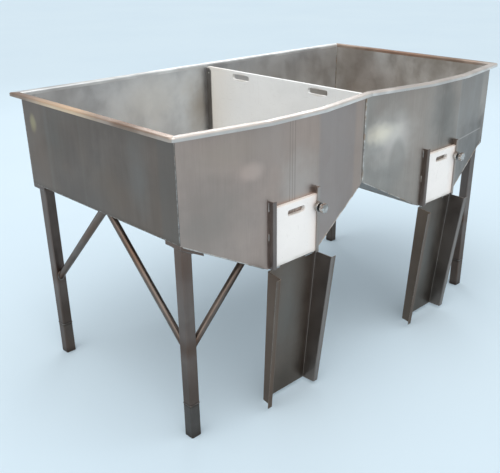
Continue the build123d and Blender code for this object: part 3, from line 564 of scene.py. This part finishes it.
def bead(name, path, radius, slot="wall_steel", closed=False, pitch=0.0052, ripple=0.16, sides=8, finish=None, body="tub", taper=True):
    """A weld bead: a tube along a path whose girth swells at each laid ripple."""
    points = [Vector(p) for p in path]
    if closed:
        points.append(points[0].copy())
    lengths = [0.0]
    for a, b in zip(points, points[1:]):
        lengths.append(lengths[-1] + (b - a).length)
    total = lengths[-1]
    count = max(6, int(round(total / (pitch / 4))))
    ripples = max(1, round(total / pitch))

    def at(d):
        d = min(max(d, 0.0), total)
        for i in range(len(points) - 1):
            if d <= lengths[i + 1] or i == len(points) - 2:
                run = lengths[i + 1] - lengths[i]
                return points[i].lerp(points[i + 1], (d - lengths[i]) / run if run else 0.0)
        return points[-1]

    centres = [at(total * i / count) for i in range(count + (0 if closed else 1))]
    n = len(centres)
    normal = None
    bm = bmesh.new()
    rings = []
    for i, c in enumerate(centres):
        a = centres[(i - 1) % n] if (closed or i) else c
        b = centres[(i + 1) % n] if (closed or i < n - 1) else c
        t = (b - a).normalized()
        if normal is None:
            helper = Vector((0, 0, 1)) if abs(t.z) < 0.8 else Vector((1, 0, 0))
            normal = t.cross(helper).normalized()
        normal = (normal - t * normal.dot(t)).normalized()
        other = t.cross(normal)
        s = i / count
        phase = (s * ripples) % 1.0
        r = radius * (1.0 - ripple + ripple * 2 * math.sqrt(max(0.0, 1 - (2 * phase - 1) ** 2)) * 0.8)
        wob = 1 + 0.05 * math.sin(s * total * 310 + 1.3) + 0.04 * math.sin(s * total * 127)
        r *= wob
        if taper and not closed:
            d = min(s, 1 - s) * total
            r *= min(1.0, 0.35 + 0.65 * math.sin(min(1.0, d / (2.2 * radius)) * math.pi / 2))
        rings.append([bm.verts.new(c + (normal * math.cos(2 * math.pi * q / sides) + other * math.sin(2 * math.pi * q / sides)) * r) for q in range(sides)])
    for i in range(n if closed else n - 1):
        a, b = rings[i], rings[(i + 1) % n]
        for q in range(sides):
            bm.faces.new((a[q], a[(q + 1) % sides], b[(q + 1) % sides], b[q]))
    if not closed:
        for ring, flip in ((rings[0], True), (rings[-1], False)):
            bm.faces.new(list(reversed(ring)) if flip else ring)
    bmesh.ops.recalc_face_normals(bm, faces=bm.faces[:])
    mesh = bpy.data.meshes.new(name)
    bm.to_mesh(mesh)
    bm.free()
    for p in mesh.polygons:
        p.use_smooth = True
    mesh.materials.append(finish or (WELD_LEG if slot in ("leg_steel", "foot_steel") else WELD_WALL))
    obj = bpy.data.objects.new(name, mesh)
    scene.collection.objects.link(obj)
    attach(obj, body)
    return obj


def hopper_z(x, y, drop=0.0):
    """Height of the hopper's outer skin above a point, lowered square to each face by drop."""
    d = min(abs(x), X_END - abs(x))
    side_z = Z_WALL - SLOPE_SIDE * d - drop * math.sqrt(1 + SLOPE_SIDE ** 2)
    back_z = Z_GATE + SLOPE_BACK * (y - Y_PANEL) - drop * math.sqrt(1 + SLOPE_BACK ** 2)
    return max(side_z, back_z)


T = 0.002
# upright seams: outside of the re-entrant corner, inside of the four corners
bead("weld_front_valley", [(0, Y_FRONT - 0.0012, 0.722), (0, Y_FRONT - 0.0012, 1.034)], 0.0034, ripple=0.10)
bead("weld_valley_stop", [(0, Y_FRONT - 0.001, 0.7345), (0, Y_FRONT - 0.001, 0.7250)], 0.0060, ripple=0.05)
for s, k in SIDES:
    bead("weld_inside_back_" + s, [(k * (X_END - T - 0.0004), Y_BACK - T - 0.0004, 0.722), (k * (X_END - T - 0.0004), Y_BACK - T - 0.0004, 1.046)], 0.0026, ripple=0.10)
    bead("weld_inside_front_" + s, [(k * (X_END - T - 0.0004), Y_FRONT + T + 0.0006, 0.722), (k * (X_END - T - 0.0004), Y_FRONT + T + 0.0006, 1.046)], 0.0026, ripple=0.10)
    bead("seam_corner_front_" + s, [(k * (X_END - 0.0006), Y_FRONT + 0.0006, 0.718), (k * (X_END - 0.0006), Y_FRONT + 0.0006, 1.035)], 0.0011, ripple=0.03, finish=WELD_DULL)
    bead("seam_corner_back_" + s, [(k * (X_END - 0.0006), Y_BACK - 0.0006, 0.718), (k * (X_END - 0.0006), Y_BACK - 0.0006, 1.035)], 0.0011, ripple=0.03, finish=WELD_DULL)

# seams under the hoppers, where the sloping floors meet the walls
for s, k in SIDES:
    xm = k * X_MID
    for tag, x_top, y_top in (("outer", k * X_END, Y_FRONT), ("inner", 0.0, Y_FRONT)):
        sign = 1 if x_top > xm else -1
        corner = Vector((xm + sign * 0.120, Y_PANEL + 0.0008, Z_GATE))
        top = Vector((x_top, y_top + 0.0008, Z_WALL))
        start, stop = corner.lerp(top, 0.04), corner.lerp(top, 0.975)
        bead("weld_hopper_front_%s_%s" % (s, tag), [start, stop], 0.0022, ripple=0.12)
        back = Vector((x_top, Y_BACK, Z_WALL))
        valley = [corner.lerp(back, 0.02), corner.lerp(back, 0.985)]
        bead("weld_hopper_valley_%s_%s" % (s, tag), [v - Vector((0, 0, 0.0003)) for v in valley], 0.0020, ripple=0.10)
    inside = 0.0045
    bead(
        "weld_basin_back_" + s,
        [(k * 0.030, Y_BACK - T - 0.0004, Z_WALL + 0.0022), (k * (X_END - 0.010), Y_BACK - T - 0.0004, Z_WALL + 0.0022)], 0.0024, ripple=0.12,
    )
    bead(
        "weld_basin_end_" + s,
        [(k * (X_END - T - 0.0004), Y_FRONT + 0.012, Z_WALL + 0.0026), (k * (X_END - T - 0.0004), Y_BACK - 0.012, Z_WALL + 0.0026)], 0.0024, ripple=0.12,
    )

# leg tops and feet
for s, k in SIDES:
    for e, j in ENDS:
        tag = e + "_" + s
        cx = k * (X_END - 0.0316)
        cy = Y_FRONT + 0.0316 if e == "front" else Y_BACK - 0.0316
        h = 0.0200
        ring = []
        for ax, ay, bx, by in ((-h, -h, h, -h), (h, -h, h, h), (h, h, -h, h), (-h, h, -h, -h)):
            for q in range(9):
                x, y = cx + ax + (bx - ax) * q / 9, cy + ay + (by - ay) * q / 9
                ring.append((x, y, hopper_z(x, y, 0.011) - 0.0006))
        bead("weld_leg_top_" + tag, ring, 0.0030, "leg_steel", closed=True, pitch=0.0060)
        r = h + 0.0001
        rounded = []
        for qx, qy in ((1, -1), (1, 1), (-1, 1), (-1, -1)):
            for step in range(5):
                a = math.atan2(qy, qx) - math.pi / 4 + math.pi / 8 * step
                rounded.append((cx + qx * (r - 0.004) + 0.004 * math.cos(a), cy + qy * (r - 0.004) + 0.004 * math.sin(a), 0.131))
        bead("weld_foot_" + tag, rounded, 0.0012, "foot_steel", closed=True, pitch=0.0040, ripple=0.20)


def ring_on_plane(start, ahead_, radius, point, normal):
    """Where a round bar along a line meets a plane, as a loop of points."""
    d = Vector(ahead_).normalized()
    u = d.cross(Vector((0, 0, 1))).normalized()
    v = d.cross(u)
    n, p0 = Vector(normal), Vector(point)
    loop = []
    for q in range(28):
        a = 2 * math.pi * q / 28
        p = Vector(start) + (u * math.cos(a) + v * math.sin(a)) * radius
        loop.append(p + d * ((p0 - p).dot(n) / d.dot(n)))
    return loop


for s, k in SIDES:
    for e, j in ENDS:
        tag = e + "_" + s
        cx = k * (X_END - 0.0316)
        cy = Y_FRONT + 0.0316 if e == "front" else Y_BACK - 0.0316
        for kind in ("long", "end"):
            lo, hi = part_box("%s_brace_%s" % (kind, tag))
            if kind == "long":
                x_face = k * (X_END - 0.0516)
                start, d = Vector((x_face, cy, 0.345)), Vector((-k, 0, 1)).normalized()
                face_point, face_normal = start, Vector((1, 0, 0))
            else:
                y_face = cy - j * 0.020
                start, d = Vector((cx, y_face, 0.345)), Vector((0, -j, 1)).normalized()
                face_point, face_normal = start, Vector((0, 1, 0))
            loop = ring_on_plane(start, d, 0.0127, face_point, face_normal)
            bead("weld_%s_low_%s" % (kind, tag), loop, 0.0026, "leg_steel", closed=True, pitch=0.0058)
            # upper end against the sloping skin
            t = 0.0
            for _ in range(400):
                p = start + d * t
                if p.z >= hopper_z(p.x, p.y):
                    break
                t += 0.001
            p = start + d * t
            e_ = 0.002
            gx = (hopper_z(p.x + e_, p.y) - hopper_z(p.x - e_, p.y)) / (2 * e_)
            gy = (hopper_z(p.x, p.y + e_) - hopper_z(p.x, p.y - e_)) / (2 * e_)
            loop = ring_on_plane(p, d, 0.0127, Vector((p.x, p.y, hopper_z(p.x, p.y))), Vector((-gx, -gy, 1)))
            if kind == "long":
                bead("weld_%s_top_%s" % (kind, tag), [q - Vector((0, 0, 0.0006)) for q in loop], 0.0026, "leg_steel", closed=True, pitch=0.0058)

# gate guides and clamp bosses: stitches
for s, k in SIDES:
    xm = k * X_MID
    for side_, q in (("a", -1.0), ("b", 1.0)):
        x = xm + q * 0.1130
        for i, (z0, z1) in enumerate(((0.655, 0.680), (0.755, 0.786))):
            bead("weld_guide_%s_%s_%d" % (s, side_, i), [(x, Y_PANEL - 0.0004, z0), (x, Y_PANEL - 0.0004, z1)], 0.0016, "guide_steel", ripple=0.16)
    bx, bz = xm + 0.098, 0.725
    for i, base in enumerate((58, -58)):
        arc = []
        for step in range(9):
            a = math.radians(base - 22 + 44 * step / 8)
            arc.append((bx + 0.0171 * math.cos(a), Y_PANEL - 0.0214, bz + 0.0171 * math.sin(a)))
        bead("weld_boss_%s_%d" % (s, i), arc, 0.0013, "guide_steel", ripple=0.14)

# --------------------------------------------------------------------------
# Stage: floor, world and lights
# --------------------------------------------------------------------------
bm = bmesh.new()
steps = 96
centre = bm.verts.new((0, 0, -0.0004))
rim = [bm.verts.new((60 * math.cos(2 * math.pi * q / steps), 60 * math.sin(2 * math.pi * q / steps), -0.0004)) for q in range(steps)]
for q in range(steps):
    bm.faces.new((centre, rim[q], rim[(q + 1) % steps]))
mesh = bpy.data.meshes.new("studio_floor")
bm.to_mesh(mesh)
bm.free()
floor = bpy.data.objects.new("studio_floor", mesh)
scene.collection.objects.link(floor)
f = Finish("floor_pale")
soft = f.noise(0.6, detail=3.0)
f.put(f.bsdf.inputs["Base Color"], f.mix(f.remap(soft, 0.2, 0.8), (0.612, 0.752, 0.860), (0.632, 0.770, 0.872)))
f.put(f.bsdf.inputs["Roughness"], f.remap(f.noise(9.0), 0.3, 0.7, 0.85, 0.95))
f.bsdf.inputs["Specular IOR Level"].default_value = 0.0
mesh.materials.append(f.mat)

world = bpy.data.worlds.new("studio")
world.use_nodes = True
wt = world.node_tree
wt.nodes.clear()
w_out = wt.nodes.new("ShaderNodeOutputWorld")
w_bg = wt.nodes.new("ShaderNodeBackground")
w_tc = wt.nodes.new("ShaderNodeTexCoord")
w_xyz = wt.nodes.new("ShaderNodeSeparateXYZ")
w_ramp = wt.nodes.new("ShaderNodeValToRGB")
wt.links.new(w_tc.outputs["Generated"], w_xyz.inputs[0])
wt.links.new(w_xyz.outputs["Z"], w_ramp.inputs[0])
wt.links.new(w_ramp.outputs[0], w_bg.inputs["Color"])
wt.links.new(w_bg.outputs[0], w_out.inputs["Surface"])
w_ramp.color_ramp.elements[0].position = 0.0
w_ramp.color_ramp.elements[0].color = (0.69, 0.80, 0.89, 1)
w_ramp.color_ramp.elements[1].position = 0.85
w_ramp.color_ramp.elements[1].color = (0.86, 0.83, 0.80, 1)
middle = w_ramp.color_ramp.elements.new(0.22)
middle.color = (0.76, 0.77, 0.78, 1)
w_bg.inputs["Strength"].default_value = 0.80
scene.world = world


def softbox(name, place, aim, size, power, colour=(1, 1, 1)):
    data = bpy.data.lights.new(name, "AREA")
    data.shape = "RECTANGLE"
    data.size, data.size_y = size
    data.energy = power
    data.color = colour
    obj = bpy.data.objects.new(name, data)
    scene.collection.objects.link(obj)
    obj.location = place
    obj.rotation_euler = (Vector(aim) - Vector(place)).to_track_quat("-Z", "Y").to_euler()
    return obj


def lamp(name, towards, strength, angle, colour=(1, 1, 1)):
    data = bpy.data.lights.new(name, "SUN")
    data.energy = strength
    data.angle = math.radians(angle)
    data.color = colour
    obj = bpy.data.objects.new(name, data)
    scene.collection.objects.link(obj)
    obj.rotation_euler = Vector(towards).to_track_quat("-Z", "Y").to_euler()
    return obj


lamp("lamp_key", (1.0, 0.55, -1.35), 1.25, 75.0, (1.0, 0.97, 0.93))
lamp("lamp_fill", (-0.15, 0.9, -1.0), 0.50, 80.0)
softbox("softbox_top", (-0.3, 0.2, 3.6), (0, 0.05, 0.9), (2.4, 1.6), 22.0)
softbox("softbox_back", (3.4, 4.0, 2.7), (0, 0, 0.9), (2.2, 1.2), 30.0)

scene.view_settings.view_transform = "Standard"
scene.view_settings.look = "None"
scene.view_settings.exposure = 0.0
scene.view_settings.gamma = 1.0
